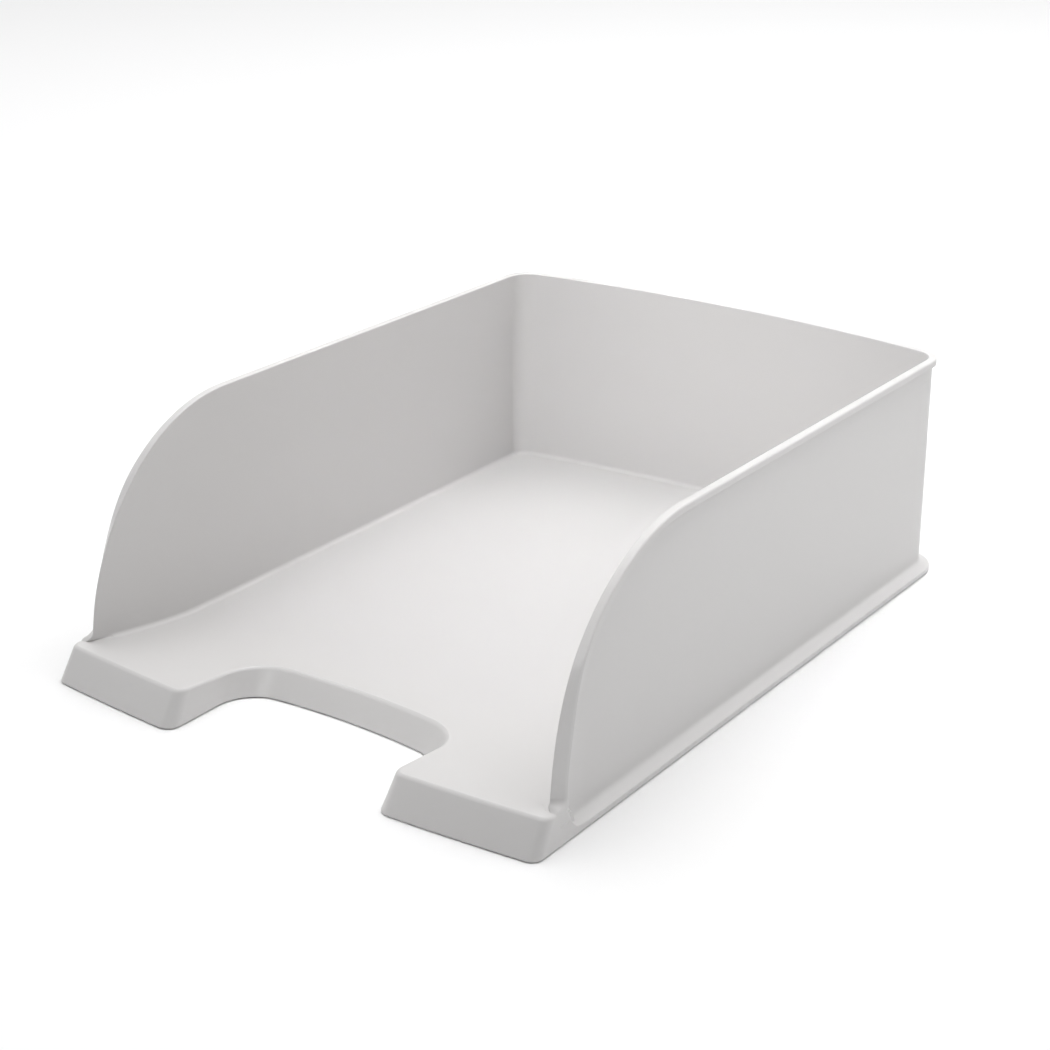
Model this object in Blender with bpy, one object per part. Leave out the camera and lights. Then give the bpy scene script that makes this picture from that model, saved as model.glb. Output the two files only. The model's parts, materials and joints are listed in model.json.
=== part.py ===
"""Deep A4 letter tray: one injection-moulded tray body standing on four soft anti-slip pads.

The front faces -Y and X runs across the tray. The origin is on the desk, under the middle of
the tray's overall length and width. All sizes are in metres.
"""

import math

import bmesh
import bpy
from mathutils import Matrix

# Overall sizes
WIDTH = 0.250
DEPTH = 0.349
HEIGHT = 0.106

# Plan shape: how far the front and the back bow outwards, and the corner radii
FRONT_BOW = 0.0064
BACK_BOW = 0.0115
FRONT_CORNER_R = 0.005
INNER_CORNER_R = 0.011

# Base edge and the sloping ledge between it and the walls
DESK_GAP = 0.0005
BASE_EDGE = 0.0024
LEDGE_WIDTH = 0.005
LEDGE_RISE = 0.0027

# Walls, and the lip that stands out round their top
WALL_TOP = 0.0021
OUTER_DRAFT = 0.0007
INNER_DRAFT = 0.0005
BACK_DRAFT = 0.0027
LIP_OUT = 0.0017
LIP_TOP = 0.0022
LIP_FRONT = 0.0034
PANEL_CORNER_R = 0.006

# Side walls open outwards a little towards their front ends
FLARE = 0.0024
FLARE_FROM = 0.046
FLARE_TO = 0.022

# Curve down which each side wall falls to the front: a quarter ellipse with a filleted foot
SWEEP_START = 0.110
SWEEP_FOOT = 0.0228
SWEEP_CENTRE_Z = 0.0080
SWEEP_FOOT_R = 0.0040

# Front apron, and the floor that runs down from it
APRON_TOP = 0.0146
APRON_SETBACK = 0.0088
APRON_SIDE_SETBACK = 0.0008
FLOOR_Z = 0.007
FLOOR_THICK = 0.0024
RAMP_LENGTH = 0.080
RAMP_LEAD = 0.008
RAMP_BLEND = 0.030

# Thumb notch in the middle of the front
NOTCH_HALF = 0.0535
NOTCH_DEPTH = 0.050
NOTCH_BOW = 0.0045
NOTCH_INNER_R = 0.018
NOTCH_MOUTH_R = 0.006
NOTCH_SIDE_SETBACK = 0.0016
NOTCH_RAMP_OFFSET = 0.034

# Hollow underside
SKIRT = 0.0024
REBATE_DEPTH = 0.0019
REBATE_FRONT = 0.035
RIB_THICK = 0.0016
RIB_LIFT = 0.0004
LONG_RIBS = 4
CROSS_RIBS = 5

# Anti-slip pads in round seats
PAD_R = 0.006
PAD_THICK = 0.0016
PAD_CLEARANCE = 0.0003
SEAT_DEPTH = 0.0009
BOSS_WALL = 0.0022
PAD_INSET_X = 0.030
PAD_INSET_FRONT = 0.040
PAD_INSET_BACK = 0.040

# Fineness of the round shapes
CORNER_STEPS = 6
BOW_STEPS = 6
SWEEP_STEPS = 20
FLARE_STEPS = 4
PAD_SIDES = 32
FLOOR_COLUMNS = 24
FLOOR_ROWS = 16

# Worked out from the values above. FRONT is where the bowed front edge would cross the middle;
# the notch takes that part away, so the tray's foremost points are beside the notch.
FRONT = -DEPTH / 2 - FRONT_BOW * (2 * (NOTCH_HALF + NOTCH_MOUTH_R) / WIDTH) ** 2
BACK = DEPTH / 2
MARGIN = 0.020
BASE_HALF = WIDTH / 2
WALL_FOOT_HALF = BASE_HALF - LEDGE_WIDTH
WALL_TOP_HALF = WALL_FOOT_HALF - OUTER_DRAFT
RIM_HALF = WALL_TOP_HALF + LIP_OUT
INSIDE_TOP_HALF = WALL_TOP_HALF - WALL_TOP
INSIDE_FLOOR_HALF = INSIDE_TOP_HALF - INNER_DRAFT
WALL_FOOT_BACK = BACK - LEDGE_WIDTH
WALL_TOP_BACK = WALL_FOOT_BACK - OUTER_DRAFT
RIM_BACK = WALL_TOP_BACK + LIP_OUT
INSIDE_TOP_BACK = WALL_TOP_BACK - WALL_TOP
INSIDE_FLOOR_BACK = INSIDE_TOP_BACK - BACK_DRAFT
WALL_CORNER_R = INNER_CORNER_R + WALL_TOP
LEDGE_Z = DESK_GAP + BASE_EDGE
REBATE_Z = DESK_GAP + REBATE_DEPTH
POCKET_HALF = INSIDE_FLOOR_HALF - SKIRT
REBATE_HALF = BASE_HALF - SKIRT
SEAT_R = PAD_R + PAD_CLEARANCE
BOSS_R = SEAT_R + BOSS_WALL
SEAT_TOP = PAD_THICK + PAD_CLEARANCE
BOSS_Z = SEAT_TOP - SEAT_DEPTH


def clear_scene():
    """Removes whatever objects the file holds, and makes the two collections."""
    for obj in list(bpy.data.objects):
        bpy.data.objects.remove(obj)
    made = []
    for name in ("letter_tray", "cutters"):
        collection = bpy.data.collections.new(name)
        bpy.context.scene.collection.children.link(collection)
        made.append(collection)
    return made


def material(name, colour, roughness):
    """A plain Principled material."""
    made = bpy.data.materials.new(name)
    made.use_nodes = True
    shader = made.node_tree.nodes["Principled BSDF"]
    shader.inputs["Base Color"].default_value = (*colour, 1.0)
    shader.inputs["Roughness"].default_value = roughness
    shader.inputs["Metallic"].default_value = 0.0
    return made


def add_object(name, mesh, collection):
    obj = bpy.data.objects.new(name, mesh)
    collection.objects.link(obj)
    return obj


def add_cutter(name, mesh):
    obj = add_object(name, mesh, CUTTERS)
    obj.hide_render = True
    obj.display_type = "WIRE"
    return obj


def boolean(obj, operation, other):
    """Adds an exact Boolean modifier that joins, cuts or intersects obj with other."""
    modifier = obj.modifiers.new(f"{operation.lower()} {other.name}", "BOOLEAN")
    modifier.operation = operation
    modifier.solver = "EXACT"
    modifier.object = other


def smooth_step(t):
    t = min(max(t, 0.0), 1.0)
    return t * t * (3.0 - 2.0 * t)


def smooth_minimum(a, b, blend):
    """The lesser of two lengths, with the crease between them rounded over the blend length."""
    share = min(max(0.5 + 0.5 * (b - a) / blend, 0.0), 1.0)
    return b + (a - b) * share - blend * share * (1.0 - share)


def fillet(before, corner, after, radius, steps):
    """Points of the arc that rounds a corner between two straight runs."""
    ax, ay = before[0] - corner[0], before[1] - corner[1]
    bx, by = after[0] - corner[0], after[1] - corner[1]
    la, lb = math.hypot(ax, ay), math.hypot(bx, by)
    ax, ay, bx, by = ax / la, ay / la, bx / lb, by / lb
    half_angle = math.acos(max(-1.0, min(1.0, ax * bx + ay * by))) / 2
    reach = radius / math.tan(half_angle)
    mx, my = ax + bx, ay + by
    away = radius / math.sin(half_angle) / math.hypot(mx, my)
    cx, cy = corner[0] + mx * away, corner[1] + my * away
    start = math.atan2(corner[1] + ay * reach - cy, corner[0] + ax * reach - cx)
    end = math.atan2(corner[1] + by * reach - cy, corner[0] + bx * reach - cx)
    turn = (end - start + math.pi) % (2 * math.pi) - math.pi
    angles = [start + turn * step / steps for step in range(steps + 1)]
    return [(cx + radius * math.cos(angle), cy + radius * math.sin(angle)) for angle in angles]


def flare_at(y, flare):
    """How far a side wall has opened outwards at a place along the tray."""
    share = (FRONT + FLARE_FROM - y) / (FLARE_FROM - FLARE_TO)
    return flare * min(max(share, 0.0), 1.0) ** 2


def tray_outline(half, front, back, front_r, back_r, flare=None, bow_steps=BOW_STEPS):
    """Plan outline, anticlockwise: a bowed front, straight sides and a bowed back. front and back
    are the places of the two edges on the centre line. A flare opens the sides at the front."""

    def front_y(x):
        return front + FRONT_BOW * (x / half) ** 2

    def back_y(x):
        return back - BACK_BOW * (x / half) ** 2

    side = []
    front_half = half
    if flare is not None:
        front_half += flare_at(front, flare)
        for step in range(FLARE_STEPS + 1):
            y = FRONT + FLARE_TO + (FLARE_FROM - FLARE_TO) * step / FLARE_STEPS
            side.append((half + flare_at(y, flare), y))
    bow_xs = [half * step / bow_steps for step in range(bow_steps)]
    front_corner = (front_half, front_y(half))
    back_corner = (half, back_y(half))
    last_bow = (bow_xs[-1], back_y(bow_xs[-1]))
    right = [(x, front_y(x)) for x in bow_xs]
    ahead = side[0] if side else back_corner
    right += fillet(right[-1], front_corner, ahead, front_r, CORNER_STEPS)
    right += side
    right += fillet(right[-1], back_corner, last_bow, back_r, CORNER_STEPS)
    right += [(x, back_y(x)) for x in reversed(bow_xs)]
    left = [(-x, y) for x, y in reversed(right[1:-1])]
    return right + left


def notch_outline(half, back, inner_r, mouth_r, mouth_y):
    """Outline of the thumb notch, open towards the front, with rounded mouth corners. back is
    the place of its rear edge on the centre line."""
    wide = half + mouth_r + MARGIN
    far_front = mouth_y - 2 * MARGIN

    def back_y(x):
        return back - NOTCH_BOW * (x / half) ** 2

    bow_xs = [half * step / BOW_STEPS for step in range(BOW_STEPS - 1)]
    corner = (half, back_y(half))
    mouth = (half, mouth_y)
    right = [(wide, far_front), (wide, mouth_y)]
    right += fillet((wide, mouth_y), mouth, corner, mouth_r, CORNER_STEPS)
    right += fillet(mouth, corner, (bow_xs[-1], back_y(bow_xs[-1])), inner_r, CORNER_STEPS)
    right += [(x, back_y(x)) for x in reversed(bow_xs)]
    return right + [(-x, y) for x, y in reversed(right[:-1])]


def plate_mesh(name, outline, low, high):
    """A flat outline given thickness, from low to high along Z: a filled 2D curve made a mesh."""
    curve = bpy.data.curves.new(name, "CURVE")
    curve.dimensions = "2D"
    curve.fill_mode = "BOTH"
    curve.extrude = (high - low) / 2
    spline = curve.splines.new("POLY")
    spline.points.add(len(outline) - 1)
    for point, (x, y) in zip(spline.points, outline):
        point.co = (x, y, 0.0, 1.0)
    spline.use_cyclic_u = True
    guide = add_object(name, curve, CUTTERS)
    evaluated = guide.evaluated_get(bpy.context.evaluated_depsgraph_get())
    mesh = bpy.data.meshes.new_from_object(evaluated)
    bpy.data.objects.remove(guide)
    work = bmesh.new()
    work.from_mesh(mesh)
    bmesh.ops.remove_doubles(work, verts=work.verts, dist=1e-6)
    bmesh.ops.translate(work, verts=work.verts, vec=(0.0, 0.0, (low + high) / 2))
    bmesh.ops.recalc_face_normals(work, faces=work.faces)
    work.to_mesh(mesh)
    work.free()
    return mesh


def loft_mesh(name, rings):
    """A closed solid through sections of unlike outline: each ring is (outline, z), all with the
    same number of points, lowest first."""
    work = bmesh.new()
    loops = [[work.verts.new((x, y, z)) for x, y in outline] for outline, z in rings]
    work.faces.new(list(reversed(loops[0])))
    work.faces.new(loops[-1])
    for lower, upper in zip(loops, loops[1:]):
        count = len(lower)
        for index in range(count):
            after = (index + 1) % count
            work.faces.new((lower[index], lower[after], upper[after], upper[index]))
    bmesh.ops.triangulate(work, faces=work.faces)
    bmesh.ops.recalc_face_normals(work, faces=work.faces)
    mesh = bpy.data.meshes.new(name)
    work.to_mesh(mesh)
    work.free()
    return mesh


def side_plate_mesh(name, profile):
    """A side view of (y, z) points given the whole width of the tray and some more."""
    reach = BASE_HALF + MARGIN
    mesh = plate_mesh(name, profile, -reach, reach)
    turned = Matrix(((0, 0, 1, 0), (1, 0, 0, 0), (0, 1, 0, 0), (0, 0, 0, 1)))
    mesh.transform(turned)
    return mesh


def cylinder_mesh(name, x, y, radius, low, high):
    work = bmesh.new()
    bmesh.ops.create_cone(
        work,
        cap_ends=True,
        segments=PAD_SIDES,
        radius1=radius,
        radius2=radius,
        depth=high - low,
        matrix=Matrix.Translation((x, y, (low + high) / 2)),
    )
    mesh = bpy.data.meshes.new(name)
    work.to_mesh(mesh)
    work.free()
    return mesh


def box_mesh(name, low, high):
    work = bmesh.new()
    size = [top - bottom for bottom, top in zip(low, high)]
    middle = [(top + bottom) / 2 for bottom, top in zip(low, high)]
    matrix = Matrix.Translation(middle) @ Matrix.Diagonal((*size, 1.0))
    bmesh.ops.create_cube(work, size=1.0, matrix=matrix)
    mesh = bpy.data.meshes.new(name)
    work.to_mesh(mesh)
    work.free()
    return mesh


def lean_at(z):
    """How much of the apron's lean there is at a height: none at the desk, all at its top."""
    return (z - DESK_GAP) / (APRON_TOP - DESK_GAP)


def floor_height(x, y):
    """Top of the floor: level at the back, and rising towards the apron's edge and the notch."""
    to_front = y - FRONT - APRON_SETBACK - FRONT_BOW * (x / BASE_HALF) ** 2
    rear = FRONT + APRON_SETBACK + NOTCH_DEPTH - NOTCH_BOW * min(abs(x) / NOTCH_HALF, 1.0) ** 2
    beside = max(abs(x) - (NOTCH_HALF - NOTCH_INNER_R), 0.0)
    behind = max(y - (rear - NOTCH_INNER_R), 0.0)
    to_notch = math.hypot(beside, behind) - NOTCH_INNER_R + NOTCH_RAMP_OFFSET
    distance = smooth_minimum(to_front, to_notch, RAMP_BLEND)
    highest = smooth_step(1.0 - RAMP_LEAD / RAMP_LENGTH)
    rise = smooth_step(1.0 - (distance + RAMP_LEAD) / RAMP_LENGTH) / highest
    return FLOOR_Z + (APRON_TOP - FLOOR_Z) * rise


def floor_block_mesh(name, drop, reach):
    """The space above the floor, or below its underside: a sheet in the floor's shape, lowered
    by drop, extruded to the height reach."""
    wide = BASE_HALF + MARGIN
    ramp_back = FRONT + NOTCH_DEPTH + RAMP_LENGTH
    work = bmesh.new()
    bmesh.ops.create_grid(work, x_segments=FLOOR_COLUMNS, y_segments=FLOOR_ROWS + 1, size=1.0)
    rows = FLOOR_ROWS + 1
    for vert in work.verts:
        row = round((vert.co.y + 1.0) / 2.0 * rows)
        start = FRONT - MARGIN
        y = start + (ramp_back - start) * row / FLOOR_ROWS if row < rows else BACK + MARGIN
        x = vert.co.x * wide
        vert.co = (x, y, floor_height(x, y) - drop)
    sheet = list(work.faces)
    grown = bmesh.ops.extrude_face_region(work, geom=sheet)
    for vert in [item for item in grown["geom"] if isinstance(item, bmesh.types.BMVert)]:
        vert.co.z = reach
    bmesh.ops.triangulate(work, faces=work.faces)
    bmesh.ops.recalc_face_normals(work, faces=work.faces)
    mesh = bpy.data.meshes.new(name)
    work.to_mesh(mesh)
    work.free()
    return mesh


def ellipse_point(angle, inset_front=0.0, inset_top=0.0):
    """A (y, z) point of the sweep, from its foremost point at 0 to the rim at a quarter turn."""
    reach = SWEEP_START - SWEEP_FOOT - inset_front
    rise = HEIGHT - SWEEP_CENTRE_Z - inset_top
    y = FRONT + SWEEP_START - reach * math.cos(angle)
    return y, SWEEP_CENTRE_Z + rise * math.sin(angle)


def foot_fillet_centre(angle):
    """Centre of the circle of SWEEP_FOOT_R that touches the sweep in front, at that angle."""
    y, z = ellipse_point(angle)
    ny = -math.cos(angle) / (SWEEP_START - SWEEP_FOOT)
    nz = math.sin(angle) / (HEIGHT - SWEEP_CENTRE_Z)
    length = math.hypot(ny, nz)
    return y + SWEEP_FOOT_R * ny / length, z + SWEEP_FOOT_R * nz / length


def sweep_profile():
    """Side view of all that is above and in front of the side walls' edge."""
    low, high = 0.0, math.pi / 4
    for _ in range(40):
        middle = (low + high) / 2
        if foot_fillet_centre(middle)[1] < APRON_TOP + SWEEP_FOOT_R:
            low = middle
        else:
            high = middle
    cy, cz = foot_fillet_centre(low)
    touch_y, touch_z = ellipse_point(low)
    end = math.atan2(touch_z - cz, touch_y - cy)
    start = -math.pi / 2
    points = [(FRONT - MARGIN, HEIGHT + MARGIN), (FRONT - MARGIN, APRON_TOP)]
    for step in range(CORNER_STEPS + 1):
        angle = start + (end - start) * step / CORNER_STEPS
        points.append((cy + SWEEP_FOOT_R * math.cos(angle), cz + SWEEP_FOOT_R * math.sin(angle)))
    for step in range(1, SWEEP_STEPS + 1):
        angle = low + (math.pi / 2 - low) * step / SWEEP_STEPS
        points.append(ellipse_point(angle))
    points.append((FRONT + SWEEP_START, HEIGHT + MARGIN))
    return points


def panel_profile():
    """Side view of the recessed outer panel, between the lip and the base."""
    foot_z = LEDGE_Z - LEDGE_RISE / 2
    start_z = foot_z + PANEL_CORNER_R
    rise = HEIGHT - SWEEP_CENTRE_Z - LIP_TOP
    start = math.asin(max(start_z - SWEEP_CENTRE_Z, 0.0) / rise)
    points = []
    for step in range(SWEEP_STEPS + 1):
        angle = math.pi / 2 + (start - math.pi / 2) * step / SWEEP_STEPS
        points.append(ellipse_point(angle, LIP_FRONT, LIP_TOP))
    corner = (points[-1][0], foot_z)
    points += fillet(points[-1], corner, (BACK, foot_z), PANEL_CORNER_R, CORNER_STEPS)[1:]
    points.append((BACK + MARGIN, foot_z))
    points.append((BACK + MARGIN, HEIGHT - LIP_TOP))
    return points


def ledge_outline(out):
    """Plan outline at a distance outwards from the walls' foot."""
    return tray_outline(
        WALL_FOOT_HALF + out,
        FRONT + LEDGE_WIDTH - out,
        WALL_FOOT_BACK + out,
        FRONT_CORNER_R,
        WALL_CORNER_R + out,
        flare=FLARE * max(1.0 - out / LEDGE_WIDTH, 0.0),
    )


def panel_recess():
    """Cutter for the outer panels: their side view, less the walls and the sloping ledge."""
    recess = add_cutter("panel_recess", side_plate_mesh("panel_recess", panel_profile()))
    foot = tray_outline(
        WALL_FOOT_HALF, FRONT, WALL_FOOT_BACK, FRONT_CORNER_R, WALL_CORNER_R, flare=FLARE
    )
    top = tray_outline(
        WALL_TOP_HALF, FRONT, WALL_TOP_BACK, FRONT_CORNER_R, WALL_CORNER_R, flare=FLARE
    )
    rings = [(foot, -MARGIN), (foot, LEDGE_Z), (top, HEIGHT), (top, HEIGHT + MARGIN)]
    walls = add_cutter("wall_outside", loft_mesh("wall_outside", rings))
    slope = LEDGE_RISE / LEDGE_WIDTH
    outer = LEDGE_WIDTH * 1.6
    inner = -WALL_TOP / 2
    rings = [
        (ledge_outline(outer), -MARGIN),
        (ledge_outline(outer), LEDGE_Z - (outer - LEDGE_WIDTH) * slope),
        (ledge_outline(inner), LEDGE_Z + (LEDGE_WIDTH - inner) * slope),
    ]
    ledge = add_cutter("sloping_ledge", loft_mesh("sloping_ledge", rings))
    boolean(recess, "DIFFERENCE", walls)
    boolean(recess, "DIFFERENCE", ledge)
    return recess


def interior():
    """Cutter for the paper space: the inside walls, down to the floor's surface."""
    floor_ring = tray_outline(
        INSIDE_FLOOR_HALF,
        FRONT - MARGIN,
        INSIDE_FLOOR_BACK,
        FRONT_CORNER_R,
        INNER_CORNER_R,
        flare=FLARE,
    )
    top_ring = tray_outline(
        INSIDE_TOP_HALF,
        FRONT - MARGIN,
        INSIDE_TOP_BACK,
        FRONT_CORNER_R,
        INNER_CORNER_R,
        flare=FLARE,
    )
    rings = [
        (floor_ring, 0.0),
        (floor_ring, FLOOR_Z),
        (top_ring, HEIGHT),
        (top_ring, HEIGHT + MARGIN),
    ]
    space = add_cutter("paper_space", loft_mesh("paper_space", rings))
    above = floor_block_mesh("above_floor", 0.0, HEIGHT + 2 * MARGIN)
    boolean(space, "INTERSECT", add_cutter("above_floor", above))
    return space


def notch(name, grow, low, high):
    """The thumb notch, grown sideways and backwards, with its walls leaning like the apron."""
    rings = []
    for z in (low, high):
        front = FRONT + APRON_SETBACK * lean_at(z)
        outline = notch_outline(
            NOTCH_HALF + grow + NOTCH_SIDE_SETBACK * lean_at(z),
            front + NOTCH_DEPTH + grow,
            NOTCH_INNER_R + grow,
            NOTCH_MOUTH_R,
            front + FRONT_BOW * (NOTCH_HALF / BASE_HALF) ** 2,
        )
        rings.append((outline, z))
    return add_cutter(name, loft_mesh(name, rings))


def rib_boxes():
    """Stiffening ribs under the floor, as boxes that the pocket goes round."""
    low = REBATE_Z + RIB_LIFT
    boxes = []
    for index in range(LONG_RIBS):
        x = POCKET_HALF * (2 * (index + 1) / (LONG_RIBS + 1) - 1)
        boxes.append(
            box_mesh(
                f"long_rib_{index}",
                (x - RIB_THICK / 2, FRONT - MARGIN, low),
                (x + RIB_THICK / 2, BACK + MARGIN, HEIGHT),
            )
        )
    for index in range(CROSS_RIBS):
        y = FRONT + (INSIDE_FLOOR_BACK - FRONT) * (index + 1) / (CROSS_RIBS + 1)
        wide = BASE_HALF + MARGIN
        boxes.append(
            box_mesh(
                f"cross_rib_{index}",
                (-wide, y - RIB_THICK / 2, low),
                (wide, y + RIB_THICK / 2, HEIGHT),
            )
        )
    return boxes


def underside():
    """Cutter for the hollow under the floor, less the notch's skirt, the ribs and the bosses."""
    rings = []
    for z in (-MARGIN / 2, APRON_TOP + MARGIN / 2):
        front = FRONT + SKIRT + APRON_SETBACK * lean_at(z)
        outline = tray_outline(
            POCKET_HALF, front, INSIDE_FLOOR_BACK - SKIRT, FRONT_CORNER_R, INNER_CORNER_R
        )
        rings.append((outline, z))
    pocket = add_cutter("under_floor", loft_mesh("under_floor", rings))
    below = floor_block_mesh("below_floor", FLOOR_THICK, -2 * MARGIN)
    boolean(pocket, "INTERSECT", add_cutter("below_floor", below))
    boolean(pocket, "DIFFERENCE", notch("notch_skirt", SKIRT, -MARGIN, APRON_TOP + MARGIN))
    for mesh in rib_boxes():
        boolean(pocket, "DIFFERENCE", add_cutter(mesh.name, mesh))
    for corner, (x, y) in PAD_PLACES.items():
        boss = cylinder_mesh(f"boss_{corner}", x, y, BOSS_R, BOSS_Z, HEIGHT)
        boolean(pocket, "DIFFERENCE", add_cutter(boss.name, boss))
    return pocket


def stacking_rebate():
    """Cutter for the shallow step round the underside that locates on another tray's rim."""
    outline = tray_outline(
        REBATE_HALF, FRONT + REBATE_FRONT, BACK - SKIRT, FRONT_CORNER_R, WALL_CORNER_R + SKIRT
    )
    mesh = plate_mesh("stacking_rebate", outline, -MARGIN, REBATE_Z)
    rebate = add_cutter("stacking_rebate", mesh)
    for corner in PAD_PLACES:
        boolean(rebate, "DIFFERENCE", CUTTERS.objects[f"boss_{corner}"])
    return rebate


def tray_body():
    """The one moulding: walls with their lip, floor, front apron with the notch, and base."""
    rim = tray_outline(
        RIM_HALF,
        FRONT + LEDGE_WIDTH,
        RIM_BACK,
        FRONT_CORNER_R,
        WALL_CORNER_R + LIP_OUT,
        flare=FLARE,
    )
    mesh = plate_mesh("tray_body", rim, DESK_GAP + BASE_EDGE / 2, HEIGHT)
    body = add_object("tray_body", mesh, TRAY)
    base = tray_outline(
        BASE_HALF,
        FRONT,
        BACK,
        FRONT_CORNER_R,
        WALL_CORNER_R + LEDGE_WIDTH,
        bow_steps=BOW_STEPS + 1,
    )
    apron_top = tray_outline(
        BASE_HALF - APRON_SIDE_SETBACK,
        FRONT + APRON_SETBACK,
        BACK,
        FRONT_CORNER_R,
        WALL_CORNER_R + LEDGE_WIDTH,
        bow_steps=BOW_STEPS + 1,
    )
    block = loft_mesh("apron_block", [(base, DESK_GAP), (apron_top, APRON_TOP)])
    boolean(body, "UNION", add_cutter("apron_block", block))
    boolean(body, "DIFFERENCE", panel_recess())
    boolean(body, "DIFFERENCE", interior())
    sweep = side_plate_mesh("front_sweep", sweep_profile())
    boolean(body, "DIFFERENCE", add_cutter("front_sweep", sweep))
    boolean(body, "DIFFERENCE", notch("thumb_notch", 0.0, -MARGIN / 2, APRON_TOP + MARGIN))
    boolean(body, "DIFFERENCE", underside())
    boolean(body, "DIFFERENCE", stacking_rebate())
    for corner, (x, y) in PAD_PLACES.items():
        seat = cylinder_mesh(f"seat_{corner}", x, y, SEAT_R, -MARGIN, SEAT_TOP)
        boolean(body, "DIFFERENCE", add_cutter(seat.name, seat))
    body.data.materials.append(material("satin_polystyrene", (0.79, 0.78, 0.775), 0.34))


def anti_slip_pads():
    """Four soft round pads, each standing on the desk with its top in its seat."""
    for corner, (x, y) in PAD_PLACES.items():
        mesh = cylinder_mesh(f"pad_{corner}", x, y, PAD_R, 0.0, PAD_THICK)
        mesh.shade_smooth()
        mesh.set_sharp_from_angle(angle=math.radians(40))
        pad = add_object(f"pad_{corner}", mesh, TRAY)
        pad.data.materials.append(material(f"soft_pad_{corner}", (0.60, 0.60, 0.60), 0.75))


TRAY, CUTTERS = clear_scene()
PAD_X = POCKET_HALF - PAD_INSET_X + BOSS_R
PAD_FRONT_Y = FRONT + PAD_INSET_FRONT
PAD_BACK_Y = BACK - BACK_BOW - PAD_INSET_BACK
PAD_PLACES = {
    "front_left": (-PAD_X, PAD_FRONT_Y),
    "front_right": (PAD_X, PAD_FRONT_Y),
    "rear_left": (-PAD_X, PAD_BACK_Y),
    "rear_right": (PAD_X, PAD_BACK_Y),
}
tray_body()
anti_slip_pads()
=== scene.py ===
import json
import math

import bmesh
import bpy
import numpy as np
from mathutils import Matrix, Vector

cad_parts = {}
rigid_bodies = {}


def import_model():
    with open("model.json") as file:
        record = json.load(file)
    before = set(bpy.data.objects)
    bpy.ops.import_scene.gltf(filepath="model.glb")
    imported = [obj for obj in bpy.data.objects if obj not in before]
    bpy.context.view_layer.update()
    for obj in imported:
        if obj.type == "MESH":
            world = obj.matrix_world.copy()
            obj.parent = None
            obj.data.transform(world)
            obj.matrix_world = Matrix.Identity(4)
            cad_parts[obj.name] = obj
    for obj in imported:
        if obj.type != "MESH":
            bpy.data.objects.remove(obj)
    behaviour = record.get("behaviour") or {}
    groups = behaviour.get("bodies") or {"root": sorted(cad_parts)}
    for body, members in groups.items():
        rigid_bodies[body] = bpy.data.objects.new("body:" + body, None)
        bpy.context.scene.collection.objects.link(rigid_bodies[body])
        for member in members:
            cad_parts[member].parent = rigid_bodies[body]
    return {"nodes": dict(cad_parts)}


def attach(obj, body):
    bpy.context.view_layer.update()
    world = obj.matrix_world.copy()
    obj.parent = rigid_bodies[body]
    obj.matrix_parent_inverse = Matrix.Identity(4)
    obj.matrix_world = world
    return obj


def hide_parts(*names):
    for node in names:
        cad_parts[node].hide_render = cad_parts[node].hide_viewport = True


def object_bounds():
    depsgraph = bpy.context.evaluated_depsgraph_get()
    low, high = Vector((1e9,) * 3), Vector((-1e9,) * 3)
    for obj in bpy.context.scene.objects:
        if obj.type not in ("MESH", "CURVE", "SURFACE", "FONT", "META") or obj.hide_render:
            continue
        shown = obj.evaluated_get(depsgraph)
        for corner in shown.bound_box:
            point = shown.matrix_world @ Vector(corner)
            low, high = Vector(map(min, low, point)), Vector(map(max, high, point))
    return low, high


for leftover in list(bpy.data.objects):
    bpy.data.objects.remove(leftover)
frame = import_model()
cadBox = [list(corner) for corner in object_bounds()]
print("frame loaded:", sorted(frame["nodes"]))

# Lengths of the tray are in millimetres. y runs back from where the bowed front edge would
# cross the middle, and z up from the desk; toMetres turns them into the frame's metres.
tray = {
    "baseHalf": 125.0,
    "frontBow": 6.4,
    "backBow": 11.5,
    "backApex": 350.45,
    "frontCorner": 5.0,
    "backCorner": 18.1,
    "skirtBottom": 0.5,
    "height": 106.0,
    "lipIn": 4.0,
    "panelIn": 5.7,
    "panelDraft": 0.7,
    "innerIn": 7.8,
    "sideDraft": 0.5,
    "backDraft": 2.7,
    "flare": 2.4,
    "flareFrom": 46.0,
    "flareTo": 22.0,
    "floorLevel": 7.0,
    "floorThick": 2.4,
    "floorFillet": 2.2,
    "apronTop": 14.6,
    "frontLean": 8.8,
    "sideLean": 0.8,
    "edgeRound": 1.3,
    "skirt": 2.4,
    "pocketIn": 10.7,
    "rebateTop": 2.4,
    "rebateFrom": 32.0,
    "blockTo": 13.0,  # height up to which the wall's end stands on the apron's block
    "blockFade": 10.0,
}
ramp = {"length": 80.0, "lead": 8.0, "blend": 30.0, "notchOffset": 34.0}
notch = {
    "half": 53.5,
    "arcHalf": 36.0,
    "depth": 50.0,
    "bow": 4.5,
    "innerRound": 18.0,
    "mouthRound": 6.0,
    "sideLean": 1.6,
}
sweep = {
    "start": 110.0,
    "foot": 22.8,
    "centreZ": 8.0,
    "footRound": 4.0,
    "steepFrom": 30.5,
    "slant": 4.8,
    "slantFullZ": 38.0,
    "slantEndZ": 84.0,
    "wallReach": 9.0,  # how far inwards from the edge the wall's rows follow its curve
}
lip = {"height": 3.0, "frontHeight": 1.3, "innerRound": 0.45, "outerRound": 0.75}
ledge = {"rise": 2.7, "edge": 2.9, "slope": 5.0, "fillet": 1.0, "edgeRound": 0.25}
fan = {
    "limit": 4.2,  # inward distance past which the rows fan out
    "frontReach": 34.0,
    "frontFrom": 5.5,
    "frontRound": 5.6,
    "mouthReach": 22.0,
    "mouthFrom": 6.5,
    "mouthRound": 6.6,
    "apronReach": 30.0,
}
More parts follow.
